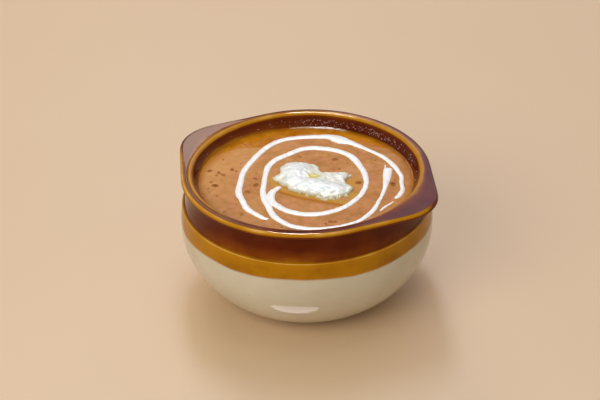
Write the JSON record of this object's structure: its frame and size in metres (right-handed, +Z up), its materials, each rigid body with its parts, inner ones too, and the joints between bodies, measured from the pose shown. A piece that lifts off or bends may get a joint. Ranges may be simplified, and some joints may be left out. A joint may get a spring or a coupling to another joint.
{
  "type": "bowl of dal makhani",
  "caption": "Lug-handled two-tone stoneware soup bowl filled with creamy lentil dal, with a lump of white butter in the middle.",
  "frame": {"origin": "centre of the underside of the foot, on the surface that the bowl stands on", "axes": "+Z up out of the mouth of the bowl, +X and -X through the tips of the two lugs"},
  "size_m": [0.1384, 0.1222, 0.065],
  "materials": {
    "stoneware": "gloss",
    "dal": "gloss",
    "butter": "satin"
  },
  "bodies": {
    "root": {"bowl": "stoneware", "dal": "dal", "butter": "butter"}
  },
  "joints": []
}
